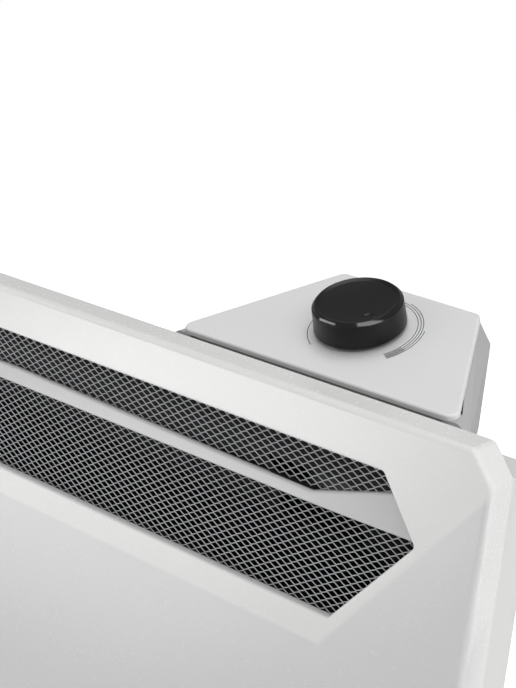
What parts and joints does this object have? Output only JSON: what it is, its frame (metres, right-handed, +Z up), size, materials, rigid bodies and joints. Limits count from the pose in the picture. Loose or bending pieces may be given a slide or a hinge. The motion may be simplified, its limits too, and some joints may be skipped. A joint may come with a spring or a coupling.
{
  "type": "wall convector heater",
  "caption": "Slim wall convector heater with a pressed steel front, a wide six-sided air outlet crossed by a flared blade, and a wedge-shaped control unit with a round dial.",
  "frame": {"origin": "centre of the underside, halfway between the front face and the wall face", "axes": "+X along the width to the right seen from the front, +Y from the front towards the wall, +Z up"},
  "size_m": [0.64, 0.112, 0.4539],
  "materials": {
    "white_steel": "satin powder coat",
    "grey_steel": "satin powder coat",
    "black_steel": "matte powder coat",
    "casing_steel": "satin powder coat",
    "zinc_steel": "zinc plated sheet",
    "extruded_aluminium": "extruded, unpainted",
    "sheath_steel": "drawn tube",
    "ceramic": "glazed steatite",
    "brass_parts": "turned",
    "white_plastic": "fine texture",
    "grey_plastic": "fine texture",
    "black_plastic": "satin",
    "inner_plastic": "moulded"
  },
  "bodies": {
    "heater": {"front_panel": "white_steel", "outlet_frame": "black_steel", "upper_grille": "grey_steel", "lower_grille": "grey_steel", "blade_carrier": "black_steel", "outlet_blade": "white_steel", "rear_casing": "casing_steel", "casing_screws": "zinc_steel", "leg_nuts": "zinc_steel", "back_shield": "black_steel", "air_guide": "black_steel", "heating_element": "extruded_aluminium", "heating_rod": "sheath_steel", "element_bush_left": "ceramic", "element_bush_right": "ceramic", "element_bracket_left": "zinc_steel", "element_bracket_right": "zinc_steel", "element_screws": "zinc_steel", "cutout_bracket": "zinc_steel", "overheat_cutout": "inner_plastic", "module_socket": "inner_plastic", "wall_bracket": "zinc_steel", "wall_spacers": "grey_plastic", "control_housing": "white_plastic", "control_plate": "white_plastic", "thermostat_body": "inner_plastic", "thermostat_nut": "brass_parts", "thermostat_bracket": "zinc_steel", "thermostat_screws": "zinc_steel", "control_plug": "inner_plastic", "socket_contacts": "brass_parts", "terminal_block": "white_plastic", "tip_switch": "inner_plastic", "cord_gland": "black_plastic", "control_screws": "zinc_steel"},
    "dial": {"control_knob": "black_plastic", "thermostat_spindle": "brass_parts"}
  },
  "joints": [
    {"name": "dial_turn", "type": "hinge", "parent": "heater", "child": "dial", "pos_m": [0.1967, 0.0122, 0.4302], "axis": [0, -0.3665, 0.9304], "range_deg": [0, 270]}
  ]
}
